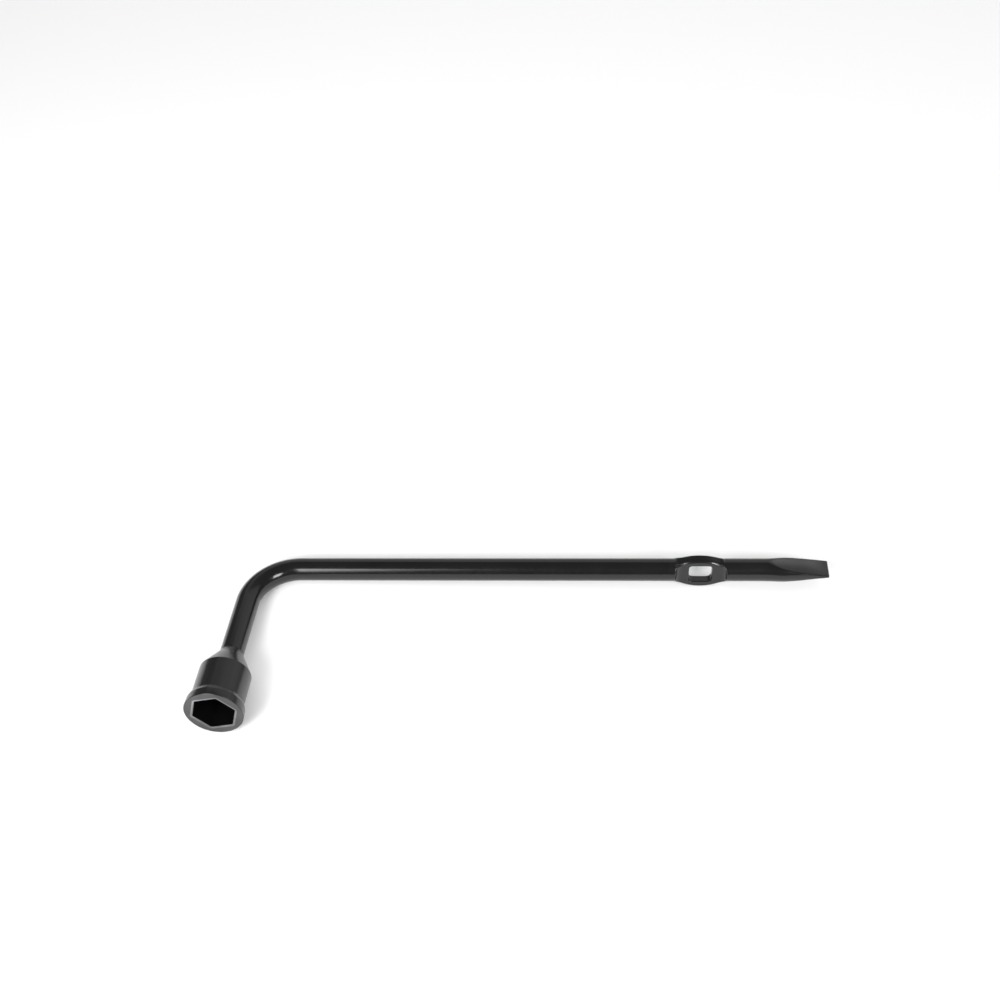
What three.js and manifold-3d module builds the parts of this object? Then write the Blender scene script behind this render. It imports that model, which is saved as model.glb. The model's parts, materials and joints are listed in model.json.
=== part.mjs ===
// Lug wrench. A round steel bar is bent into a short leg and a long arm. The leg carries a
// hexagon socket, held by a tenon and a groove weld. The arm ends in a forged jack eye and a
// chisel blade. Millimetres, +Z up, lying at rest on z = 0 with the arm along +X.
import * as THREE from 'three';
import { mergeVertices } from 'three/addons/utils/BufferGeometryUtils.js';
import Module from 'manifold-3d';

const wasm = await Module();
wasm.setup();

const degrees = THREE.MathUtils.degToRad;

// Bar and bend. Lengths run from the corner where the two middle lines would meet.
const BAR_RADIUS = 6.5;
const BEND_RADIUS = 27;
const BEND_TURN = degrees(88);
const LEG_LENGTH = 105;
const ARM_LENGTH = 325.3;
const GAP = 0.3;

// Socket. Stations run from its mouth towards the bar.
const HEX_ACROSS_FLATS = 21.3;
const HEX_TURN = degrees(16.2);
const HEX_DEPTH = 21;
const DRILL_RADIUS = 8;
const DRILL_POINT = 3.5;
const MOUTH_RADIUS = 15.8;
const MOUTH_CHAMFER = 0.4;
const COLLAR_RADIUS = 15;
const COLLAR_LENGTH = 6.2;
const COLLAR_STEP = 1.4;
const BARREL_RADIUS = 14;
const BARREL_END = 26.5;
const SHOULDER_ROUND = 0.8;
const NECK_RADIUS = 7.2;
const NECK_STATION = 38.4;

// Tenon and groove weld between the socket and the bar.
const TENON_RADIUS = 5;
const TENON_LENGTH = 9;
const GROOVE_DEPTH = 1;
const WELD_TOP_STATION = NECK_STATION + 2.4;
const WELD_CROWN = 0.15;

// Jack eye: the bar is spread upright and pressed flat from both sides, then pierced.
const EYE_X = 253.8;
const EYE_HALF_LENGTH = 13.1;
const EYE_HALF_HEIGHT = 10.7;
const EYE_DROP = 0.7;
const EYE_THICKNESS = 4.8;
const FLAT_HALF_LENGTH = 9.8;
const SCOOP_RADIUS = 4.8;
const HOLE_LENGTH = 13;
const HOLE_HEIGHT = 12;
const HOLE_DROP = 1.25;
const HOLE_CORNER = 1.4;

// Chisel blade. Its faces are slightly hollow, and distances run back from the tip.
const TIP_THICKNESS = 1.2;
const TIP_SLOPE = 0.095;
const BLADE_HOLLOW = 0.0021;
const BLADE_LENGTH = 35;
const BLADE_RISE = 0.5;
const SWELL_START = 37;
const SWELL_PEAK = 21.5;
const SWELL_HALF_WIDTH = 7.3;
const TIP_HALF_WIDTH = 6.2;

// The forged end begins here.
const FORGED_START_X = 236;

// Mesh fineness
const RING_SIDES = 32;
const LATHE_SIDES = 48;
const BEND_STEPS = 20;
const ROUND_STEPS = 5;
const EYE_STEPS = 18;
const BLADE_STEPS = 12;

const UP = new THREE.Vector3(0, 0, 1);
const BEND_START = BEND_RADIUS * Math.tan(BEND_TURN / 2);

// A direction in the plane of the wrench, turned from +X towards +Y.
function heading(angle) {
  return new THREE.Vector3(Math.cos(angle), Math.sin(angle), 0);
}

// A point on the leg's middle line, measured from the socket's mouth.
function legPoint(station) {
  return heading(BEND_TURN).multiplyScalar(station - LEG_LENGTH);
}

// A point on the bend's middle line, where the bar runs at the given heading.
function bendPoint(angle) {
  return new THREE.Vector3(
    BEND_START - BEND_RADIUS * Math.sin(angle),
    BEND_RADIUS * (Math.cos(angle) - 1),
    0,
  );
}

// An ellipse of points around a centre, square to a direction that lies in the plane.
function ring(centre, direction, halfWidth, halfHeight = halfWidth) {
  const side = new THREE.Vector3().crossVectors(UP, direction);
  return Array.from({ length: RING_SIDES }, (_, index) => {
    const angle = (2 * Math.PI * index) / RING_SIDES;
    return centre
      .clone()
      .addScaledVector(side, halfWidth * Math.cos(angle))
      .addScaledVector(UP, halfHeight * Math.sin(angle));
  });
}

// A closed skin over a row of rings, with a fan of triangles over each end.
function loft(rings) {
  const points = rings.flat();
  const last = (rings.length - 1) * RING_SIDES;
  const startCentre = points.length;
  const endCentre = startCentre + 1;
  const faces = [];
  for (let side = 0; side < RING_SIDES; side += 1) {
    const next = (side + 1) % RING_SIDES;
    faces.push(startCentre, next, side);
    faces.push(endCentre, last + side, last + next);
    for (let row = 0; row < last; row += RING_SIDES) {
      const above = row + RING_SIDES;
      faces.push(row + side, row + next, above + next);
      faces.push(row + side, above + next, above + side);
    }
  }
  points.push(middle(rings[0]), middle(rings.at(-1)));
  const geometry = new THREE.BufferGeometry().setFromPoints(points);
  geometry.setIndex(faces);
  return geometry;
}

function middle(points) {
  const sum = points.reduce((total, point) => total.add(point), new THREE.Vector3());
  return sum.divideScalar(points.length);
}

function solid(geometry) {
  const bare = geometry.clone();
  bare.deleteAttribute('normal');
  bare.deleteAttribute('uv');
  const merged = mergeVertices(bare);
  return new wasm.Manifold(
    new wasm.Mesh({
      numProp: 3,
      vertProperties: merged.attributes.position.array,
      triVerts: Uint32Array.from(merged.index.array),
    }),
  );
}

function geometryOf(body) {
  const mesh = body.getMesh();
  const geometry = new THREE.BufferGeometry();
  geometry.setAttribute('position', new THREE.BufferAttribute(mesh.vertProperties, 3));
  geometry.setIndex(new THREE.BufferAttribute(mesh.triVerts, 1));
  geometry.computeVertexNormals();
  return geometry;
}

function paintedSteel(colour, roughness) {
  return new THREE.MeshStandardMaterial({ color: colour, roughness, metalness: 0.1 });
}

function namedMesh(name, geometry, material) {
  const mesh = new THREE.Mesh(geometry, material);
  mesh.name = name;
  return mesh;
}

// A solid of revolution about the leg's line. Points are [radius, station] pairs, and the
// result is placed with its mouth end at the foot of the leg.
function turned(points) {
  const outline = points.map(([radius, station]) => new THREE.Vector2(radius, station));
  return new THREE.LatheGeometry(outline, LATHE_SIDES);
}

function onLeg(geometry) {
  const foot = legPoint(0);
  return geometry.rotateZ(BEND_TURN - Math.PI / 2).translate(foot.x, foot.y, foot.z);
}

// The rounded edge between the barrel and the cone.
function shoulderPoints() {
  const cone = new THREE.Vector2(NECK_RADIUS - BARREL_RADIUS, NECK_STATION - BARREL_END).normalize();
  const corner = new THREE.Vector2(BARREL_RADIUS, BARREL_END);
  const start = corner.clone().add(new THREE.Vector2(0, -SHOULDER_ROUND));
  const end = corner.clone().addScaledVector(cone, SHOULDER_ROUND);
  const curve = new THREE.QuadraticBezierCurve(start, corner, end);
  return curve.getPoints(ROUND_STEPS).map((point) => [point.x, point.y]);
}

function socketGeometry() {
  const body = turned([
    [0, 0],
    [MOUTH_RADIUS - MOUTH_CHAMFER, 0],
    [MOUTH_RADIUS, MOUTH_CHAMFER],
    [COLLAR_RADIUS, COLLAR_LENGTH],
    [BARREL_RADIUS, COLLAR_LENGTH + COLLAR_STEP],
    ...shoulderPoints(),
    [NECK_RADIUS, NECK_STATION],
    [TENON_RADIUS + GAP, NECK_STATION + GROOVE_DEPTH],
    [0, NECK_STATION + GROOVE_DEPTH],
  ]);
  const hexRadius = HEX_ACROSS_FLATS / 2 / Math.cos(Math.PI / 6);
  const hexagon = new THREE.CylinderGeometry(hexRadius, hexRadius, 2 * HEX_DEPTH, 6);
  hexagon.rotateY(HEX_TURN);
  const drillPoint = turned([
    [0, HEX_DEPTH - 1],
    [DRILL_RADIUS, HEX_DEPTH - 1],
    [DRILL_RADIUS, HEX_DEPTH],
    [0, HEX_DEPTH + DRILL_POINT],
  ]);
  const bore = turned([
    [0, tenonEnd() - GAP],
    [TENON_RADIUS + GAP, tenonEnd() - GAP],
    [TENON_RADIUS + GAP, NECK_STATION + 2 * GROOVE_DEPTH],
    [0, NECK_STATION + 2 * GROOVE_DEPTH],
  ]);
  const recess = solid(hexagon).add(solid(drillPoint));
  return onLeg(geometryOf(solid(body).subtract(recess).subtract(solid(bore))));
}

function tenonEnd() {
  return NECK_STATION + GROOVE_DEPTH - TENON_LENGTH;
}

// A ring that fills the V between the socket's neck and the bar's chamfered end, with a low
// crown over the neck.
function weldGeometry() {
  const root = [TENON_RADIUS + 2 * GAP, NECK_STATION + GROOVE_DEPTH + GAP];
  const crown = new THREE.QuadraticBezierCurve(
    new THREE.Vector2(NECK_RADIUS, NECK_STATION + GAP),
    new THREE.Vector2(BAR_RADIUS + 2 * WELD_CROWN, NECK_STATION + 2 * GROOVE_DEPTH),
    new THREE.Vector2(BAR_RADIUS + WELD_CROWN, WELD_TOP_STATION),
  );
  const outer = crown.getPoints(ROUND_STEPS).map((point) => [point.x, point.y]);
  return onLeg(turned([root, ...outer, root]));
}

// The bar from its tenon up the leg, around the bend and along the arm.
function shankGeometry() {
  const shoulder = NECK_STATION + GROOVE_DEPTH + 2 * GAP;
  const along = heading(BEND_TURN);
  const legRing = (radius, station) => ring(legPoint(station), along, radius);
  const rings = [
    legRing(TENON_RADIUS, tenonEnd()),
    legRing(TENON_RADIUS, shoulder),
    legRing(BAR_RADIUS, WELD_TOP_STATION + GAP),
  ];
  for (let step = 0; step <= BEND_STEPS; step += 1) {
    const angle = BEND_TURN * (1 - step / BEND_STEPS);
    rings.push(ring(bendPoint(angle), heading(angle), BAR_RADIUS));
  }
  const armEnd = new THREE.Vector3(FORGED_START_X - GAP, 0, 0);
  rings.push(ring(armEnd, heading(0), BAR_RADIUS));
  return loft(rings);
}

// How far a section has grown from the round bar, 0, to the full oval of the eye, 1.
function eyeGrowth(x) {
  const offset = Math.min(1, Math.abs(x - EYE_X) / EYE_HALF_LENGTH);
  return 1 - offset ** 2;
}

// Half the height of the forged end before its faces are cut.
function halfHeight(x) {
  return BAR_RADIUS + (EYE_HALF_HEIGHT - BAR_RADIUS) * eyeGrowth(x);
}

// The middle of the forged end: the eye is forged a little below the bar's middle line.
function forgedMiddle(x) {
  return new THREE.Vector3(x, 0, -EYE_DROP * eyeGrowth(x));
}

// Half the width of the forged end: the blade swells as it flattens, then narrows.
function halfWidth(x) {
  const fromTip = ARM_LENGTH - x;
  const { smoothstep } = THREE.MathUtils;
  const swell = SWELL_HALF_WIDTH - BAR_RADIUS;
  const taper = SWELL_HALF_WIDTH - TIP_HALF_WIDTH;
  if (fromTip > SWELL_PEAK) {
    return BAR_RADIUS + swell * (1 - smoothstep(fromTip, SWELL_PEAK, SWELL_START));
  }
  return SWELL_HALF_WIDTH - taper * (1 - fromTip / SWELL_PEAK) ** 1.5;
}

function spread(from, to, steps) {
  return Array.from({ length: steps + 1 }, (_, step) => from + ((to - from) * step) / steps);
}

function forgedStations() {
  const eye = spread(EYE_X - EYE_HALF_LENGTH, EYE_X + EYE_HALF_LENGTH, EYE_STEPS);
  const blade = spread(ARM_LENGTH - SWELL_START, ARM_LENGTH + 1, BLADE_STEPS);
  return [FORGED_START_X, ...eye, ...blade];
}

// A prism that keeps the wedge between the blade's two hollow faces. The wedge rises a little
// towards the tip.
function bladeKeeper() {
  const thickness = (fromTip) =>
    TIP_THICKNESS / 2 + TIP_SLOPE * fromTip + BLADE_HOLLOW * fromTip ** 2;
  const rise = (fromTip) => BLADE_RISE * Math.max(0, 1 - fromTip / BLADE_LENGTH);
  const reach = 2 * EYE_HALF_HEIGHT;
  const face = (side) =>
    spread(0, BLADE_LENGTH + 3, BLADE_STEPS).map(
      (fromTip) => new THREE.Vector2(ARM_LENGTH - fromTip, rise(fromTip) + side * thickness(fromTip)),
    );
  const corners = (side) => [
    new THREE.Vector2(ARM_LENGTH - BLADE_LENGTH - 3, side * reach),
    new THREE.Vector2(FORGED_START_X - reach, side * reach),
  ];
  const above = [...face(1), ...corners(1)];
  const below = [...face(-1), ...corners(-1)].reverse();
  return uprightPrism([...above, ...below], 2 * reach);
}

// An outline drawn in X and Z, pushed through evenly to both sides of the middle plane.
function uprightPrism(outline, depth) {
  const shape = new THREE.Shape(outline);
  const prism = new THREE.ExtrudeGeometry(shape, { depth, bevelEnabled: false, curveSegments: 6 });
  return prism.translate(0, 0, -depth / 2).rotateX(Math.PI / 2);
}

// The tool that presses one side of the eye flat, with a round scoop at each end.
function scoopCutter(side) {
  const face = EYE_THICKNESS / 2;
  const top = face + SCOOP_RADIUS;
  const far = FLAT_HALF_LENGTH + SCOOP_RADIUS;
  const shape = new THREE.Shape();
  shape.moveTo(-far, top);
  shape.absarc(-FLAT_HALF_LENGTH, top, SCOOP_RADIUS, Math.PI, 1.5 * Math.PI, false);
  shape.absarc(FLAT_HALF_LENGTH, top, SCOOP_RADIUS, 1.5 * Math.PI, 2 * Math.PI, false);
  const height = 4 * EYE_HALF_HEIGHT;
  const cutter = new THREE.ExtrudeGeometry(shape, {
    depth: height,
    bevelEnabled: false,
    curveSegments: 8,
  });
  cutter.translate(0, 0, -height / 2);
  cutter.rotateX(side > 0 ? 0 : Math.PI);
  return cutter.translate(EYE_X, 0, 0);
}

function eyeHole() {
  const x = HOLE_LENGTH / 2 - HOLE_CORNER;
  const z = HOLE_HEIGHT / 2 - HOLE_CORNER;
  const shape = new THREE.Shape();
  const corners = [[x, z], [-x, z], [-x, -z], [x, -z]];
  corners.forEach(([cornerX, cornerZ], quarter) => {
    const start = (quarter * Math.PI) / 2;
    shape.absarc(cornerX, cornerZ, HOLE_CORNER, start, start + Math.PI / 2, false);
  });
  return uprightPrism(shape.getPoints(4), 4 * BAR_RADIUS).translate(EYE_X, 0, -HOLE_DROP);
}

function forgedEndGeometry() {
  const rings = forgedStations().map((x) =>
    ring(forgedMiddle(x), heading(0), halfWidth(x), halfHeight(x)),
  );
  const cutters = [scoopCutter(1), scoopCutter(-1), eyeHole()];
  const blank = solid(loft(rings)).intersect(solid(bladeKeeper()));
  return geometryOf(cutters.reduce((body, cutter) => body.subtract(solid(cutter)), blank));
}

// The three lowest points for a given up direction: the barrel's shoulder, eye and bend.
function contactPoints(up) {
  const leg = heading(BEND_TURN);
  const across = up.clone().addScaledVector(leg, -up.dot(leg)).normalize();
  const shoulder = legPoint(BARREL_END - SHOULDER_ROUND).addScaledVector(across, -BARREL_RADIUS);
  const eyeSpan = Math.hypot(BAR_RADIUS * up.y, EYE_HALF_HEIGHT * up.z);
  const eye = new THREE.Vector3(
    EYE_X,
    (-(BAR_RADIUS ** 2) * up.y) / eyeSpan,
    -EYE_DROP - (EYE_HALF_HEIGHT ** 2 * up.z) / eyeSpan,
  );
  const bend = bendPoint(Math.atan2(up.x, -up.y)).addScaledVector(up, -BAR_RADIUS);
  return [shoulder, eye, bend];
}

// The direction that points up when the wrench lies on those three points.
function restingUp() {
  let up = new THREE.Vector3(0, -0.1, 1).normalize();
  for (let pass = 0; pass < 6; pass += 1) {
    const [shoulder, eye, bend] = contactPoints(up);
    up = shoulder.sub(bend).cross(eye.sub(bend)).normalize();
  }
  return up;
}

const wrench = new THREE.Group();
wrench.add(namedMesh('socket', socketGeometry(), paintedSteel(0x1b1c1d, 0.5)));
wrench.add(namedMesh('weld_bead', weldGeometry(), paintedSteel(0x202122, 0.55)));
wrench.add(namedMesh('bent_shank', shankGeometry(), paintedSteel(0x18191a, 0.35)));
wrench.add(namedMesh('pry_end', forgedEndGeometry(), paintedSteel(0x18191a, 0.4)));
wrench.quaternion.setFromUnitVectors(restingUp(), UP);

// The origin is under the middle of the wrench, on the surface that it lies on.
const box = new THREE.Box3().setFromObject(wrench, true);
const centre = box.getCenter(new THREE.Vector3());
wrench.position.set(-centre.x, -centre.y, -box.min.z);

const part = new THREE.Group();
part.add(wrench);

export default part;
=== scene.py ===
"""The lug wrench's visual model: fine meshes, black paint, floor, lights and camera.

The wrench is drawn in its own millimetres, with the arm along X and the corner of its middle
lines at the origin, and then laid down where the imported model's mounts say that it lies.
"""

import json
import math

import bmesh
import bpy
import numpy as np
from mathutils import Matrix, Vector


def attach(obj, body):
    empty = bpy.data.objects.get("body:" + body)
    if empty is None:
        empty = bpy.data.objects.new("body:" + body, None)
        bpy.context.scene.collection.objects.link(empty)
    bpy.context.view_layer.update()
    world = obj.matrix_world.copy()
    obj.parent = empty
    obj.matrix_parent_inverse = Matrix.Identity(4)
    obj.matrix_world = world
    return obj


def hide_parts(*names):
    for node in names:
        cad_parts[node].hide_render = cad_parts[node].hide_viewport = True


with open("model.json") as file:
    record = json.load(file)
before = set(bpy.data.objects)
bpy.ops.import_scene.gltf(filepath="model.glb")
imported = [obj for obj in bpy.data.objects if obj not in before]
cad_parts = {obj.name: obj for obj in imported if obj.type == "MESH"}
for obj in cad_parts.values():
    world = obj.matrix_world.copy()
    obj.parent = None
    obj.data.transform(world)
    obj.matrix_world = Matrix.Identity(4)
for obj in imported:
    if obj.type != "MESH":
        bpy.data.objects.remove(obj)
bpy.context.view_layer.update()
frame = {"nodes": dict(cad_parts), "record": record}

MM = 0.001

# Bar and bend. Lengths run from the corner where the two middle lines would meet. The bar is a
# hair thinner than the CAD bar, because its smooth sides would stand proud of that one's facets.
BAR_RADIUS = 6.45
BEND_RADIUS = 27.0
BEND_TURN = math.radians(88)
BEND_SQUEEZE = 0.012
LEG_LENGTH = 105.0
ARM_LENGTH = 325.3
FORGED_START_X = 236.0

# Socket. Stations run from its mouth towards the bar.
HEX_IN_RADIUS = 21.3 / 2
HEX_TURN = math.radians(16.2)
HEX_DEPTH = 21.0
HEX_CORNER_RADIUS = 12.1
HEX_LEAD_IN = 0.3
RIM_WIDTH = 0.8
DRILL_RADIUS = 8.0
DRILL_TIP_RADIUS = 0.4
DRILL_POINT = 3.5
MOUTH_RADIUS = 15.75
MOUTH_CHAMFER = 0.2
FACE_RING_RADIUS = 13.6
COLLAR_RADIUS = 15.55
COLLAR_LENGTH = 4.6
COLLAR_STEP_RADIUS = 14.95
COLLAR_STEP_STATION = 6.3
BARREL_RADIUS = 14.0
BARREL_START = 7.6
BARREL_END = 26.4
NECK_RADIUS = 7.2
NECK_STATION = 38.4
NECK_END_SLOPE = 1.2
SHANK_INSIDE_NECK = 2.0

# Weld. Its ripples are shares of how far the bead rises above the bar.
WELD_REACH = 2.6
WELD_FINE_RIPPLE = 0.05
WELD_BROAD_RIPPLE = 0.06

# Jack eye: an oval swelling of the bar, pressed flat on both sides
EYE_X = 253.8
EYE_HALF_LENGTH_BELOW = 14.6
EYE_HALF_LENGTH_ABOVE = 14.0
EYE_LEAN = 0.7
EYE_HALF_HEIGHT = 10.7
EYE_DROP = 0.7
EYE_HALF_THICKNESS = 2.4
FLAT_HALF_LENGTH = 9.8
SCOOP_RADIUS = 4.8

# The eye's top falls gently towards the front. Its bevel starts this far in front of the middle.
EYE_TOP_SLOPE = 0.176
EYE_BEVEL_SLOPE = 0.75
EYE_BEVEL_START = 1.44
EYE_BEVEL_SOFTNESS = 0.04
EYE_BEVEL_OVERRUN = 0.8
EYE_TOP_FADE = 3.0
EYE_ENDS_FADE = 8.0

# Two narrow facets slant down the eye's front edge, one to each side of the hole. They are
# placed by their distance from the eye's middle, and a slope rises behind each one.
FACET_X = 8.75
FACET_END = 12.4
FACET_Z = 6.1
FACET_FALL = 0.48
FACET_FORWARD = 0.72
FACET_UP = 0.62
FACET_DEPTH = 0.75
FACET_HEIGHT = 0.87
ROOF_SLOPE = 0.36
RUN_OUT_SLOPE = 2

# The hole through the eye
HOLE_HALF_LENGTH = 6.5
HOLE_HALF_HEIGHT = 6.0
HOLE_DROP = 1.25
HOLE_CORNER = 2.6
HOLE_CORNER_FLARE = 0.25

# Chisel blade. Distances run back from the tip.
TIP_HALF_THICKNESS = 0.6
TIP_HALF_WIDTH = 6.2
TIP_SLOPE = 0.095
TIP_SKEW = 0.03
BLADE_HOLLOW = 0.0021
BLADE_LENGTH = 35.0
BLADE_RISE = 0.5
BLADE_CROWN = 0.4
CROWN_FADE = 14.0
SWELL_START = 37.0
SWELL_PEAK = 21.5
SWELL_HALF_WIDTH = 7.26
FRONT_TRIM = 0.4
FRONT_TRIM_START = 1.0
FRONT_TRIM_END = 28.0
FRONT_TRIM_FADE = 8.0

# How much the forging's edges are rounded
EYE_ROUND = 0.4
FACET_ROUND = 0.25
BLADE_ROUND = 0.4
HOLE_ROUND = 0.6
TIP_ROUND = 0.3

# The numbers of the socket's materials
PAINTED = 0
# The mouth's face: its lighter greys are partly the paint's own tone and partly painted reflection
FACE = 1
# The hexagon's lead-in edge, painted light grey as a painted highlight
RIM = 2
# The hexagon's walls and drill hole, painted near black and dull as painted shade in the deep
# recess
SHADED_RECESS = 3

# Mesh fineness
SOCKET_SIDES = 192
BAR_SIDES = 96
BEND_STEPS = 64
STRAIGHT_STEP = 2.0
FORGING_VOXEL = 0.28
SETTLING_ROUNDS = 6
LONGEST_MOVE = 0.6
LEAST_SLOPE_SQUARE = 0.05
START_STRETCH = 4.0

# How often each kind of paint mark comes, per metre
PATCH_SCALE = 55.0
PEEL_SCALE = 500.0
FORGING_MARK_SCALE = 420.0
PIT_SCALE = 1500.0
SPECK_SCALE = 2600.0


# ---------------------------------------------------------------- placing


def mount_axis(name):
    return Vector(next(m["axis"] for m in frame["record"]["mounts"] if m["name"] == name))


def mount_point(name):
    return Vector(next(m["pos_m"] for m in frame["record"]["mounts"] if m["name"] == name))


def resting_place():
    """The matrix from the wrench's own millimetres to the row frame's metres."""
    along = mount_axis("pry_tip_end").normalized()
    across = mount_axis("eye_back_face").normalized()
    upward = along.cross(across).normalized()
    turn = Matrix((along, across, upward)).transposed()
    tip = mount_point("pry_tip_end") - upward * BLADE_RISE * MM
    corner = tip - along * ARM_LENGTH * MM
    return Matrix.Translation(corner) @ turn.to_4x4() @ Matrix.Scale(MM, 4)


PLACE = resting_place()


def heading(angle):
    return np.array([math.cos(angle), math.sin(angle), 0.0])


def leg_point(station):
    return heading(BEND_TURN) * (station - LEG_LENGTH)


# ---------------------------------------------------------------- meshes


def new_piece(name, bm, node):
    """Turns a bmesh in the wrench's millimetres into a piece that stands for a CAD node."""
    bmesh.ops.transform(bm, matrix=PLACE, verts=bm.verts)
    bmesh.ops.recalc_face_normals(bm, faces=bm.faces)
    mesh = bpy.data.meshes.new(name)
    bm.to_mesh(mesh)
    bm.free()
    mesh.shade_smooth()
    piece = bpy.data.objects.new(name, mesh)
    bpy.context.scene.collection.objects.link(piece)
    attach(piece, "root")
    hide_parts(node)
    return piece


def skin(bm, rings, closed=False, looks=None):
    """Faces between neighbouring rings of points, with a flat lid on each end unless closed.
    looks gives the number of each band's material."""
    rows = [[bm.verts.new(Vector(p)) for p in ring] for ring in rings]
    pairs = list(zip(rows, rows[1:]))
    if closed:
        pairs.append((rows[-1], rows[0]))
    for band, (row, above) in enumerate(pairs):
        for side in range(len(row)):
            near = side - 1
            face = bm.faces.new((row[near], row[side], above[side], above[near]))
            face.material_index = looks[band] if looks else 0
    if not closed:
        for lid in (rows[0], rows[-1]):
            face = bm.faces.new(lid)
            face.material_index = looks[-1] if looks and lid is rows[-1] else 0
            for edge in face.edges:
                edge.smooth = False
    return rows


def circle(centre, direction, radius, sides, flat=0.0):
    """A ring square to a direction in the plane of the wrench. flat squeezes it in that plane."""
    side = np.cross([0.0, 0.0, 1.0], direction)
    angles = 2 * np.pi * np.arange(sides) / sides
    inward = np.outer(np.cos(angles) * radius * (1 - flat), side)
    upward = np.outer(np.sin(angles) * radius * (1 + flat / 2), [0.0, 0.0, 1.0])
    return centre + inward + upward


def arc_points(corner, before, after, radius, steps=5):
    """The rounded corner of an outline, from the line that comes in to the line that goes out."""
    corner, before, after = (np.array(p, float) for p in (corner, before, after))
    incoming = (before - corner) / np.linalg.norm(before - corner)
    outgoing = (after - corner) / np.linalg.norm(after - corner)
    half = math.acos(np.clip(incoming @ outgoing, -1, 1)) / 2
    reach = radius / math.tan(half)
    bisector = (incoming + outgoing) / np.linalg.norm(incoming + outgoing)
    centre = corner + bisector * radius / math.sin(half)
    start = corner + incoming * reach - centre
    end = corner + outgoing * reach - centre
    share = np.linspace(0, 1, steps + 1)
    sweep = math.pi - 2 * half
    weight_start = np.sin((1 - share) * sweep) / math.sin(sweep)
    weight_end = np.sin(share * sweep) / math.sin(sweep)
    return centre + np.outer(weight_start, start) + np.outer(weight_end, end)


def rounded_outline(corners):
    """Corners are (radius, station, rounding). Returns [radius, station] points."""
    points = [corners[0][:2]]
    for before, corner, after in zip(corners, corners[1:], corners[2:]):
        if corner[2] > 0:
            points.extend(arc_points(corner[:2], before[:2], after[:2], corner[2]))
        else:
            points.append(corner[:2])
    points.append(corners[-1][:2])
    return np.array(points, float)


def around_leg(radii, station, angles):
    """Points around the leg's middle line. Angles start at its upright side."""
    side = np.cross(heading(BEND_TURN), [0.0, 0.0, 1.0])
    across = np.outer(radii * np.sin(angles), side)
    upward = np.outer(radii * np.cos(angles), [0.0, 0.0, 1.0])
    return leg_point(station) + across + upward


def hexagon_radii(in_radius, angles):
    """A hexagon with a corner at angle 0, its corners cut short by a round relief."""
    sector = (angles + np.pi / 6) % (np.pi / 3) - np.pi / 6
    radii = in_radius / np.cos(np.pi / 6 - np.abs(sector))
    relief = HEX_CORNER_RADIUS + in_radius - HEX_IN_RADIUS
    return np.minimum(radii, relief)


def socket_outline():
    """The socket's outside as [radius, station] points, from its neck to its mouth's face."""
    return rounded_outline(
        [
            (0.0, NECK_STATION + NECK_END_SLOPE, 0),
            (BAR_RADIUS - 0.6, NECK_STATION + NECK_END_SLOPE, 0),
            (NECK_RADIUS, NECK_STATION, 0.4),
            (BARREL_RADIUS, BARREL_END, 0.6),
            (BARREL_RADIUS, BARREL_START, 0.4),
            (COLLAR_STEP_RADIUS, COLLAR_STEP_STATION, 0.3),
            (COLLAR_RADIUS, COLLAR_LENGTH, 0.3),
            (MOUTH_RADIUS, MOUTH_CHAMFER, 0.08),
            (MOUTH_RADIUS - MOUTH_CHAMFER, 0.0, 0.08),
            (FACE_RING_RADIUS, 0.0, 0),
        ]
    )[1:]


def socket_mesh():
    """Rings down the outside, over the mouth's face, into the hexagon and to the drill's point."""
    turns = 2 * np.pi * np.arange(SOCKET_SIDES) / SOCKET_SIDES
    angles = turns + HEX_TURN
    outside = socket_outline()
    rings = [around_leg(np.full_like(angles, r), s, angles) for r, s in outside]
    hexagon_steps = (
        (HEX_LEAD_IN + RIM_WIDTH, 0.0),
        (HEX_LEAD_IN, 0.0),
        (0.0, HEX_LEAD_IN),
        (0.0, HEX_DEPTH),
    )
    for inset, station in hexagon_steps:
        radii = hexagon_radii(HEX_IN_RADIUS + inset, turns)
        rings.append(around_leg(radii, station, angles))
    drill_steps = ((DRILL_RADIUS, HEX_DEPTH), (DRILL_TIP_RADIUS, HEX_DEPTH + DRILL_POINT))
    for radius, station in drill_steps:
        rings.append(around_leg(np.full_like(angles, radius), station, angles))
    # The face and rim bands take lighter greys and the recess bands a darker one: painted
    # reflection, painted highlight and painted shade
    looks = [PAINTED] * (len(outside) - 2) + [FACE] * 2 + [RIM] * 2 + [SHADED_RECESS] * 3
    bm = bmesh.new()
    rows = skin(bm, rings, looks=looks)
    for row in rows[-5:-1]:
        sharpen(bm, row)
    return bm


def sharpen(bm, row):
    """Keeps the edges along one ring crisp."""
    for near, vert in zip(row[-1:] + row[:-1], row):
        edge = bm.edges.get((near, vert))
        edge.smooth = False


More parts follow.
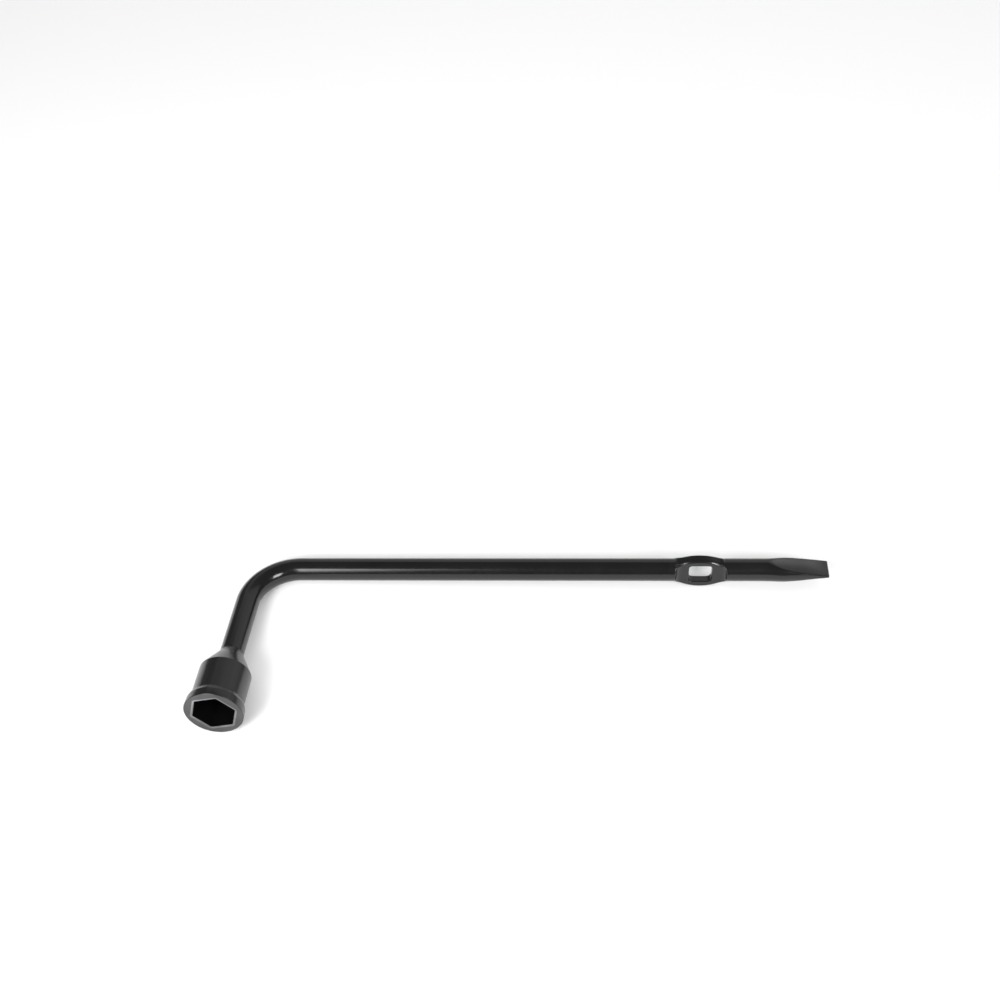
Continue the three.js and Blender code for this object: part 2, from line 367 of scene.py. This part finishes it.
def shank_mesh():
    """The bar from inside the socket's neck up the leg, around the bend and along the arm."""
    rings = []
    bend_start = BEND_RADIUS * math.tan(BEND_TURN / 2)
    bend_centre = np.array([bend_start, -BEND_RADIUS, 0.0])
    leg_from = NECK_STATION - SHANK_INSIDE_NECK
    leg_to = LEG_LENGTH - bend_start
    leg_steps = math.ceil((leg_to - leg_from) / STRAIGHT_STEP)
    along = heading(BEND_TURN)
    for station in np.linspace(leg_from, leg_to, leg_steps, endpoint=False):
        rings.append(circle(leg_point(station), along, BAR_RADIUS, BAR_SIDES))
    for share in np.linspace(0, 1, BEND_STEPS + 1):
        angle = BEND_TURN * (1 - share)
        across = np.cross([0.0, 0.0, 1.0], heading(angle))
        flat = BEND_SQUEEZE * math.sin(math.pi * share)
        centre = bend_centre + BEND_RADIUS * across
        rings.append(circle(centre, heading(angle), BAR_RADIUS, BAR_SIDES, flat))
    arm_steps = math.ceil((FORGED_START_X - bend_start) / STRAIGHT_STEP)
    for x in np.linspace(bend_start, FORGED_START_X, arm_steps + 1)[1:]:
        rings.append(circle(np.array([x, 0.0, 0.0]), heading(0), BAR_RADIUS, BAR_SIDES))
    bm = bmesh.new()
    skin(bm, rings)
    return bm


def weld_mesh():
    """A dressed fillet of weld around the neck, with the faint ripples that dressing leaves."""
    turns = 2 * np.pi * np.arange(SOCKET_SIDES) / SOCKET_SIDES
    ripple = WELD_FINE_RIPPLE * np.sin(23 * turns + 1.5 * np.sin(3 * turns))
    ripple = ripple + WELD_BROAD_RIPPLE * np.sin(5 * turns + 0.7)
    outline = rounded_outline(
        [
            (BAR_RADIUS - 0.4, NECK_STATION - 0.5, 0),
            (NECK_RADIUS + 0.15, NECK_STATION - 0.3, 0.15),
            (BAR_RADIUS + 0.3, NECK_STATION + 0.8, 0.8),
            (BAR_RADIUS - 0.1, NECK_STATION + WELD_REACH, 0),
        ]
    )
    rings = []
    for radius, station in outline:
        rise = max(0.0, radius - BAR_RADIUS)
        rings.append(around_leg(radius + ripple * rise, station, turns))
    rings.append(around_leg(np.full_like(turns, BAR_RADIUS - 0.6), NECK_STATION + 1, turns))
    bm = bmesh.new()
    skin(bm, rings, closed=True)
    return bm


# ---------------------------------------------------------------- forged end


def smooth_max(a, b, width):
    """The larger of two distances, rounded where they are within a width of each other."""
    blend = np.maximum(width - np.abs(a - b), 0) / width
    return np.maximum(a, b) + blend * blend * width / 4


def smooth_step(value):
    value = np.clip(value, 0, 1)
    return value * value * (3 - 2 * value)


def blade_half_width(from_tip):
    """Half the forging's size along y: the bar's, swelling before the tip and then tapering."""
    rise = (SWELL_HALF_WIDTH - BAR_RADIUS) * (
        1 - smooth_step((from_tip - SWELL_PEAK) / (SWELL_START - SWELL_PEAK))
    )
    near_tip = np.clip(1 - from_tip / SWELL_PEAK, 0, None)
    taper = (SWELL_HALF_WIDTH - TIP_HALF_WIDTH) * near_tip**1.5
    return BAR_RADIUS + rise - taper


def front_trim(from_tip):
    """How much narrower the blade is on its front side than on its back side."""
    after_start = smooth_step((from_tip - FRONT_TRIM_START) / FRONT_TRIM_FADE)
    before_end = smooth_step((FRONT_TRIM_END - from_tip) / FRONT_TRIM_FADE)
    return FRONT_TRIM * after_start * before_end


def eye_top_squeeze(y, z, half_height, growth):
    """How much closer to the middle line the eye's top is than an oval's. It slopes down gently
    from the back edge towards the front, and then steeply as a bevel along the front face."""
    edge = math.sqrt(1 - (EYE_HALF_THICKNESS / BAR_RADIUS) ** 2)
    y = np.clip(y, -EYE_HALF_THICKNESS - EYE_BEVEL_OVERRUN, EYE_HALF_THICKNESS)
    past = -EYE_BEVEL_START - y
    bevel = (past + np.sqrt(past**2 + EYE_BEVEL_SOFTNESS)) / 2
    lowering = EYE_TOP_SLOPE * (EYE_HALF_THICKNESS - y) + EYE_BEVEL_SLOPE * bevel
    squeeze = np.sqrt(1 - (y / BAR_RADIUS) ** 2) / (edge - lowering / half_height)
    share = smooth_step(2 * growth) * smooth_step(z / EYE_TOP_FADE)
    return 1 + (squeeze - 1) * share


def facet_distance(x, y, z):
    """Outside the two narrow slanted cuts on the eye's front edge, one on each side of the hole,
    and outside the slopes that run from them up to the eye's back edge."""
    from_middle = np.abs(x - EYE_X + EYE_LEAN)
    outward = np.minimum(from_middle, FACET_END) - FACET_X
    outward = outward - RUN_OUT_SLOPE * np.maximum(from_middle - FACET_END, 0)
    above = z - FACET_Z + FACET_FALL * outward
    facet = FACET_UP * above - FACET_FORWARD * np.abs(y + EYE_HALF_THICKNESS)
    behind = y + EYE_HALF_THICKNESS - FACET_DEPTH
    roof = above - FACET_HEIGHT - np.maximum(ROOF_SLOPE * behind, -RUN_OUT_SLOPE * behind)
    return smooth_max(facet, roof, FACET_ROUND)


def blank_distance(x, y, z):
    """The round bar with its oval eye and swollen blade, before any face is cut."""
    above = smooth_step(z / EYE_ENDS_FADE + 0.5)
    reach = EYE_HALF_LENGTH_BELOW + (EYE_HALF_LENGTH_ABOVE - EYE_HALF_LENGTH_BELOW) * above
    offset = np.clip(np.abs(x - EYE_X + EYE_LEAN * above) / reach, 0, 1)
    growth = 1 - offset**2
    half_height = BAR_RADIUS + (EYE_HALF_HEIGHT - BAR_RADIUS) * growth
    half_width = blade_half_width(ARM_LENGTH - x) - front_trim(ARM_LENGTH - x) * (y < 0)
    across = y / half_width
    upward = (z + EYE_DROP * growth) / half_height
    upward = upward * eye_top_squeeze(y, z, half_height, growth)
    length = np.sqrt(across**2 + upward**2)
    return (length - 1) * np.minimum(half_width, half_height)


def scoop_distance(x, y):
    """Outside the tools that press both sides of the eye flat."""
    beyond = np.maximum(np.abs(x - EYE_X) - FLAT_HALF_LENGTH, 0)
    below = np.maximum(EYE_HALF_THICKNESS + SCOOP_RADIUS - np.abs(y), 0)
    return np.hypot(beyond, below) - SCOOP_RADIUS


def hole_distance(x, y, z):
    """Outside the nearly square hole, whose corners are a little rounder at the back."""
    corner = HOLE_CORNER + HOLE_CORNER_FLARE * y
    over_x = np.abs(x - EYE_X) - HOLE_HALF_LENGTH + corner
    over_z = np.abs(z + HOLE_DROP) - HOLE_HALF_HEIGHT + corner
    outside = np.hypot(np.maximum(over_x, 0), np.maximum(over_z, 0))
    return outside + np.minimum(np.maximum(over_x, over_z), 0) - corner


def wedge_distance(x, y, z):
    """Outside the wedge between the blade's two slightly hollow and crowned faces."""
    from_tip = np.maximum(ARM_LENGTH - x, -1)
    crown = BLADE_CROWN * smooth_step(from_tip / CROWN_FADE) * (1 - (y / BAR_RADIUS) ** 2)
    half = TIP_HALF_THICKNESS + TIP_SLOPE * from_tip + BLADE_HOLLOW * from_tip**2 + crown
    rise = BLADE_RISE * np.clip(1 - from_tip / BLADE_LENGTH, 0, None)
    return np.abs(z - rise) - half


def forging_distance(points):
    """How far points lie outside the forging's surface. Inside, it is negative."""
    x, y, z = points.T
    body = smooth_max(blank_distance(x, y, z), -scoop_distance(x, y), EYE_ROUND)
    body = smooth_max(body, facet_distance(x, y, z), FACET_ROUND)
    body = smooth_max(body, wedge_distance(x, y, z), BLADE_ROUND)
    end = ARM_LENGTH - TIP_SKEW * (TIP_HALF_WIDTH - y)
    body = smooth_max(body, x - end, TIP_ROUND)
    return smooth_max(body, -hole_distance(x, y, z), HOLE_ROUND)


def forging_slope(points, step=0.01):
    """How fast that distance grows along each axis."""
    slopes = []
    for axis in np.eye(3) * step:
        rise = forging_distance(points + axis) - forging_distance(points - axis)
        slopes.append(rise / (2 * step))
    return np.stack(slopes, axis=1)


def settle(points):
    """Moves points along the slope until they lie on the forging's surface."""
    for _ in range(SETTLING_ROUNDS):
        slope = forging_slope(points)
        square = np.maximum((slope**2).sum(axis=1), LEAST_SLOPE_SQUARE)
        move = (forging_distance(points) / square)[:, None] * slope
        reach = np.linalg.norm(move, axis=1, keepdims=True)
        points = points - move * np.minimum(1, LONGEST_MOVE / np.maximum(reach, 1e-9))
    return points


def forged_end_mesh():
    """The CAD forging, remeshed finely and drawn onto its exact rounded surface."""
    source = frame["nodes"]["pry_end"].data.copy()
    source.transform(PLACE.inverted())
    stretch_start(source)
    blank = bpy.data.objects.new("forging_blank", source)
    bpy.context.scene.collection.objects.link(blank)
    remesh = blank.modifiers.new("remesh", "REMESH")
    remesh.mode = "VOXEL"
    remesh.voxel_size = FORGING_VOXEL
    evaluated = blank.evaluated_get(bpy.context.evaluated_depsgraph_get())
    bm = bmesh.new()
    bm.from_mesh(evaluated.to_mesh())
    evaluated.to_mesh_clear()
    bpy.data.objects.remove(blank)
    points = settle(np.array([v.co for v in bm.verts]))
    for vert, point in zip(bm.verts, points):
        vert.co = point
    trim_start(bm)
    return bm


def stretch_start(mesh):
    """Draws the forging's flat start back, so that its rim can be cut away cleanly."""
    for vert in mesh.vertices:
        if vert.co.x < FORGED_START_X + 0.5:
            vert.co.x -= START_STRETCH


def trim_start(bm):
    """Cuts the forging square where the bar ends, and closes it with a flat lid."""
    parts = bm.verts[:] + bm.edges[:] + bm.faces[:]
    cut = bmesh.ops.bisect_plane(
        bm,
        geom=parts,
        plane_co=(FORGED_START_X, 0, 0),
        plane_no=(1, 0, 0),
        clear_inner=True,
    )
    rim = [e for e in cut["geom_cut"] if isinstance(e, bmesh.types.BMEdge)]
    for edge in rim:
        edge.smooth = False
    bmesh.ops.contextual_create(bm, geom=rim)


# ---------------------------------------------------------------- paint


class Nodes:
    """A short way to add and join shader nodes."""

    def __init__(self, name):
        self.material = bpy.data.materials.new(name)
        self.material.use_nodes = True
        self.tree = self.material.node_tree
        self.tree.nodes.clear()

    def add(self, kind, settings=None, **inputs):
        node = self.tree.nodes.new(kind)
        for key, value in (settings or {}).items():
            setattr(node, key, value)
        for key, value in inputs.items():
            self.set(node, key.replace("_", " "), value)
        return node

    def set(self, node, key, value):
        socket = node.inputs[key]
        if isinstance(value, bpy.types.NodeSocket):
            self.tree.links.new(value, socket)
        else:
            socket.default_value = value


def noise(nodes, place, scale, detail, roughness=0.5):
    node = nodes.add(
        "ShaderNodeTexNoise", Vector=place, Scale=scale, Detail=detail, Roughness=roughness
    )
    return node.outputs["Fac"]


def spread_values(nodes, value, low, high, new_low, new_high):
    """Maps the range from low to high onto a new one, and cuts off what lies beyond."""
    node = nodes.add("ShaderNodeMapRange", Value=value)
    node.inputs["From Min"].default_value = low
    node.inputs["From Max"].default_value = high
    node.inputs["To Min"].default_value = new_low
    node.inputs["To Max"].default_value = new_high
    return node.outputs["Result"]


def squeezed(nodes, place, drawn):
    """The place with each axis scaled, so that marks come out long where drawn is small."""
    node = nodes.add("ShaderNodeVectorMath", {"operation": "MULTIPLY"})
    nodes.set(node, 0, place)
    nodes.set(node, 1, drawn)
    return node.outputs[0]


def paint_colour(nodes, place, base, worn):
    """The base colour, with worn patches and specks of dust."""
    patches = noise(nodes, place, PATCH_SCALE, 4.0)
    specks = noise(nodes, place, SPECK_SCALE, 2.0)
    blend = nodes.add("ShaderNodeMath", {"operation": "MAXIMUM"})
    nodes.set(blend, 0, spread_values(nodes, patches, 0.3, 0.7, 0.0, 0.5))
    nodes.set(blend, 1, spread_values(nodes, specks, 0.66, 0.8, 0.0, 0.35))
    colour = nodes.add("ShaderNodeMix", {"data_type": "RGBA"})
    nodes.set(colour, 0, blend.outputs[0])
    nodes.set(colour, 6, (*base, 1))
    nodes.set(colour, 7, (*worn, 1))
    return colour.outputs[2]


def paint_relief(nodes, place, along, peel, grain):
    """The bumps of the paint's orange peel, with the forging's pits on top of them."""
    ripple = noise(nodes, place, PEEL_SCALE, 2.0)
    pits = noise(nodes, along, PIT_SCALE, 5.0, 0.65)
    waves = nodes.add("ShaderNodeBump", Strength=1.0, Distance=peel, Height=ripple)
    rough = nodes.add("ShaderNodeBump", Strength=1.0, Distance=grain, Height=pits)
    nodes.set(rough, "Normal", waves.outputs["Normal"])
    return rough.outputs["Normal"]


def black_paint(name, base, worn, roughness, peel, grain, drawn=(1, 1, 1), shine=0.5):
    """Black paint on steel. base and worn are greys, peel is the depth of the paint's gentle
    orange peel in metres, grain is the depth of the rough forging under it, and drawn squeezes
    the forging marks so that they run along the steel. On the socket's face, rim and recess the
    greys also hold painted reflection, painted highlight and painted shade."""
    nodes = Nodes(name)
    place = nodes.add("ShaderNodeTexCoord").outputs["Object"]
    along = squeezed(nodes, place, drawn)
    marks = noise(nodes, along, FORGING_MARK_SCALE, 4.0, 0.6)
    gloss = spread_values(nodes, marks, 0.3, 0.7, roughness - 0.04, roughness + 0.06)
    shader = nodes.add("ShaderNodeBsdfPrincipled", Roughness=gloss)
    nodes.set(shader, "Base Color", paint_colour(nodes, place, base, worn))
    nodes.set(shader, "Specular IOR Level", shine)
    nodes.set(shader, "Normal", paint_relief(nodes, place, along, peel, grain))
    output = nodes.add("ShaderNodeOutputMaterial")
    nodes.set(output, "Surface", shader.outputs[0])
    return nodes.material


def grey(value):
    """A grey with a trace of blue."""
    return (value, value, value * 1.04)


def dress(piece, *materials):
    """Gives a new piece its materials. Clearing the list first would reset its faces' numbers."""
    for material in materials:
        piece.data.materials.append(material)


# ---------------------------------------------------------------- stage


def make_floor():
    """A plain white floor, 8 m square."""
    mesh = bpy.data.meshes.new("floor")
    bm = bmesh.new()
    bmesh.ops.create_grid(bm, x_segments=2, y_segments=2, size=4.0)
    bm.to_mesh(mesh)
    bm.free()
    floor = bpy.data.objects.new("floor", mesh)
    bpy.context.scene.collection.objects.link(floor)
    nodes = Nodes("floor_white")
    shader = nodes.add("ShaderNodeBsdfPrincipled", Roughness=0.9)
    nodes.set(shader, "Base Color", (0.93, 0.93, 0.93, 1))
    nodes.set(shader, "Specular IOR Level", 0.1)
    output = nodes.add("ShaderNodeOutputMaterial")
    nodes.set(output, "Surface", shader.outputs[0])
    dress(floor, nodes.material)


# How much brighter a lamp's face is when its light is narrowed to this angle
SNOOT_ANGLE = math.radians(30)
SNOOT_GAIN = 43.6

# The left key is four lamps in one place, so that it fades towards its edges. Each has a width,
# a height and a brightness.
LEFT_KEY_LAYERS = ((0.29, 0.44, 9.0), (0.36, 0.50, 4.0), (0.44, 0.56, 3.0), (0.54, 0.64, 2.0))


def softbox(name, place, size, radiance, target=(0, 0, 0), seen_in_gloss=True):
    """A rectangular lamp facing the target. Its power follows from how bright its face is."""
    light = bpy.data.lights.new(name, "AREA")
    light.shape = "RECTANGLE"
    light.size, light.size_y = size
    light.energy = radiance * math.pi * size[0] * size[1]
    lamp = bpy.data.objects.new(name, light)
    lamp.location = place
    lamp.rotation_euler = (Vector(target) - Vector(place)).to_track_quat("-Z", "Y").to_euler()
    lamp.visible_glossy = seen_in_gloss
    lamp.visible_camera = False
    bpy.context.scene.collection.objects.link(lamp)


def snooted_lamp(name, place, target, size, radiance):
    """A lamp whose light reaches only what it faces, within 15 degrees."""
    softbox(name, place, (size, size), radiance / SNOOT_GAIN, target)
    bpy.data.lights[name].spread = SNOOT_ANGLE


def make_lights():
    """The overhead lamp lights the floor. The others are what the paint reflects."""
    softbox("overhead", (-0.45, 0.1, 1.6), (2.6, 2.6), 0.95, seen_in_gloss=False)
    softbox("back_panel", (0.45, 1.3, 0.68), (2.9, 1.25), 0.55)
    snooted_lamp("blade_light", (0.41, 0.49, 0.24), (0.152, 0.05, 0.01), 0.20, 1.6)
    softbox("right_key", (1.27, -1.19, 1.19), (0.78, 0.78), 15.0)
    for number, (width, height, radiance) in enumerate(LEFT_KEY_LAYERS):
        softbox(f"left_key_{number}", (-0.465, -0.66, 0.60), (width, height), radiance)


def make_world():
    world = bpy.data.worlds.new("studio")
    world.use_nodes = True
    world.node_tree.nodes["Background"].inputs["Color"].default_value = (1, 1, 1, 1)
    world.node_tree.nodes["Background"].inputs["Strength"].default_value = 0.17
    bpy.context.scene.world = world


# The camera looks down at the middle of the frame, which is a spot on the floor behind the wrench.
LOOK_AT = (-0.01535, 0.1108, 0.0)
CAMERA_DISTANCE = 0.7785
CAMERA_AZIMUTH = math.radians(-4.085)
CAMERA_ELEVATION = math.radians(47.95)
CAMERA_ROLL = math.radians(-2.31)
LENS = 46.04


def make_camera():
    forward = Vector(
        (
            math.sin(CAMERA_AZIMUTH) * math.cos(CAMERA_ELEVATION),
            math.cos(CAMERA_AZIMUTH) * math.cos(CAMERA_ELEVATION),
            -math.sin(CAMERA_ELEVATION),
        )
    )
    data = bpy.data.cameras.new("camera")
    data.lens = LENS
    data.sensor_width = 36
    camera = bpy.data.objects.new("camera", data)
    turn = forward.to_track_quat("-Z", "Y").to_matrix()
    roll = Matrix.Rotation(-CAMERA_ROLL, 3, forward)
    place = Matrix.Translation(Vector(LOOK_AT) - forward * CAMERA_DISTANCE)
    camera.matrix_world = place @ (roll @ turn).to_4x4()
    bpy.context.scene.collection.objects.link(camera)
    bpy.context.scene.camera = camera


# ---------------------------------------------------------------- build

# Which way the forging marks run: 0.12 draws them out along that axis.
ALONG_ARM = (0.12, 1, 1)
ALONG_LEG = (1, 0.12, 1)


def build_shank():
    shank = new_piece("wrench_shank", shank_mesh(), "bent_shank")
    dress(shank, black_paint("bar_paint", grey(0.0045), grey(0.008), 0.17, 0.000006, 0.000003))


def build_forged_end():
    forged_end = new_piece("wrench_pry_end", forged_end_mesh(), "pry_end")
    paint = black_paint(
        "forging_paint", grey(0.005), grey(0.010), 0.19, 0.000006, 0.000006, ALONG_ARM
    )
    dress(forged_end, paint)


def build_socket():
    socket = new_piece("wrench_socket", socket_mesh(), "socket")
    paint = black_paint(
        "socket_paint", grey(0.005), grey(0.012), 0.20, 0.00001, 0.000016, ALONG_LEG
    )
    # The mouth's face: duller black paint, painted lighter in part as a painted reflection
    face = black_paint("socket_face_paint_and_reflection", grey(0.014), grey(0.075), 0.34, 0.00001, 0.00003)
    # Painted highlight: both greys of the hexagon's lead-in edge are light, for the thin bright
    # line along it
    rim = black_paint("socket_rim_painted_highlight", grey(0.05), grey(0.36), 0.34, 0.00001, 0.00002)
    # Painted shade: the hexagon's walls and drill hole get a near-black, dull paint for the dark
    # of the deep recess
    recess = black_paint(
        "socket_recess_painted_shade", grey(0.001), grey(0.003), 0.6, 0.00001, 0.00001, shine=0.1
    )
    dress(socket, paint, face, rim, recess)


def build_weld():
    weld = new_piece("wrench_weld", weld_mesh(), "weld_bead")
    dress(weld, black_paint("weld_paint", grey(0.006), grey(0.014), 0.25, 0.00001, 0.000016))


make_camera()
make_lights()
make_world()
make_floor()
bpy.context.scene.view_settings.view_transform = "Standard"
build_shank()
build_forged_end()
build_socket()
build_weld()
